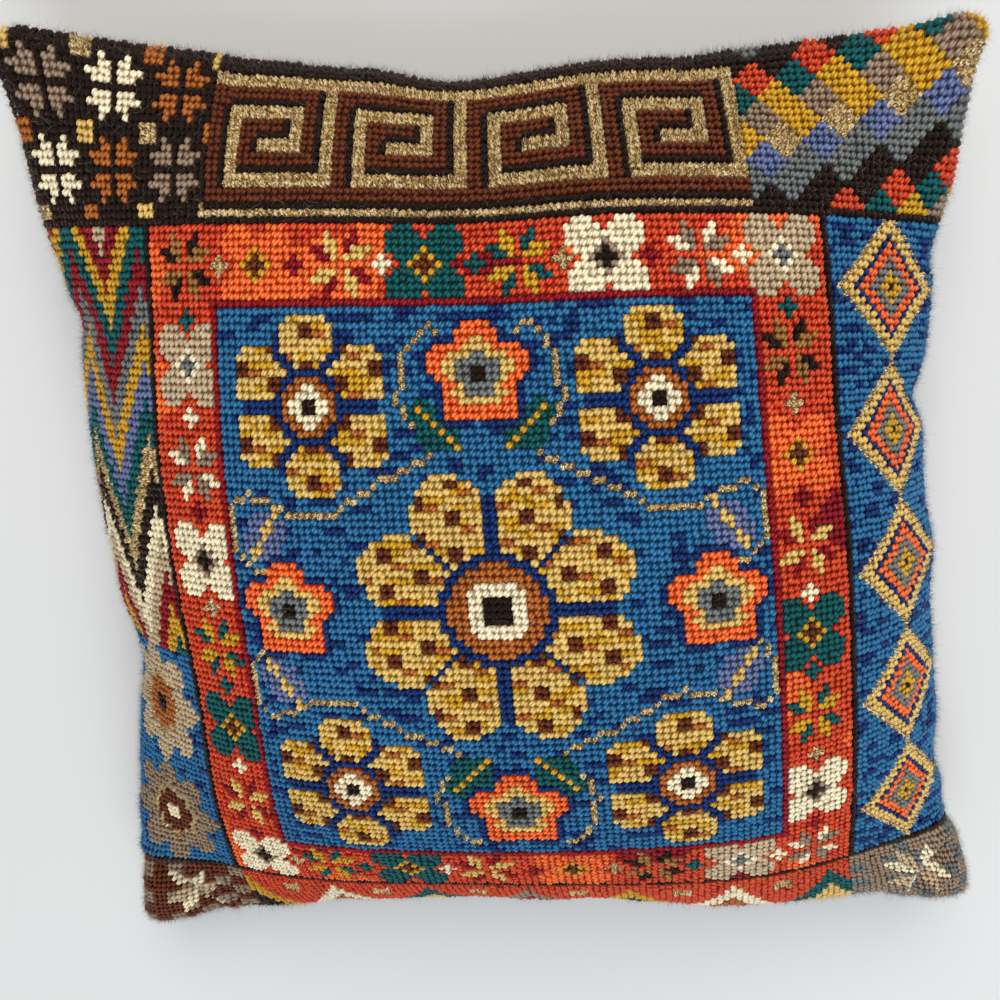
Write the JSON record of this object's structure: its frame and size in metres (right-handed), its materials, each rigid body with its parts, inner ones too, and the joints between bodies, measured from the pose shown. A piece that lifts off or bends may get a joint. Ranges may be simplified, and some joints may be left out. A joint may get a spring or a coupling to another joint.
{
  "type": "needlepoint cushion",
  "caption": "Square knife-edge cushion whose front is a tent-stitched needlepoint canvas panel, filled to a soft crown, with a plain cloth back that lies flat on a surface.",
  "frame": {"origin": "on the resting surface, under the centre of the cushion's bounding box", "axes": "+Z out of the needlepoint face, +Y toward the top of the design, +X toward its right side seen from the front"},
  "size_m": [0.345, 0.3618, 0.1024],
  "materials": {
    "needlework": "wool tent stitch on cotton canvas, matte",
    "back_cloth": "plain woven cloth, matte"
  },
  "bodies": {
    "root": {"needlepoint_panel": "needlework", "cushion_body": "back_cloth"}
  },
  "joints": []
}
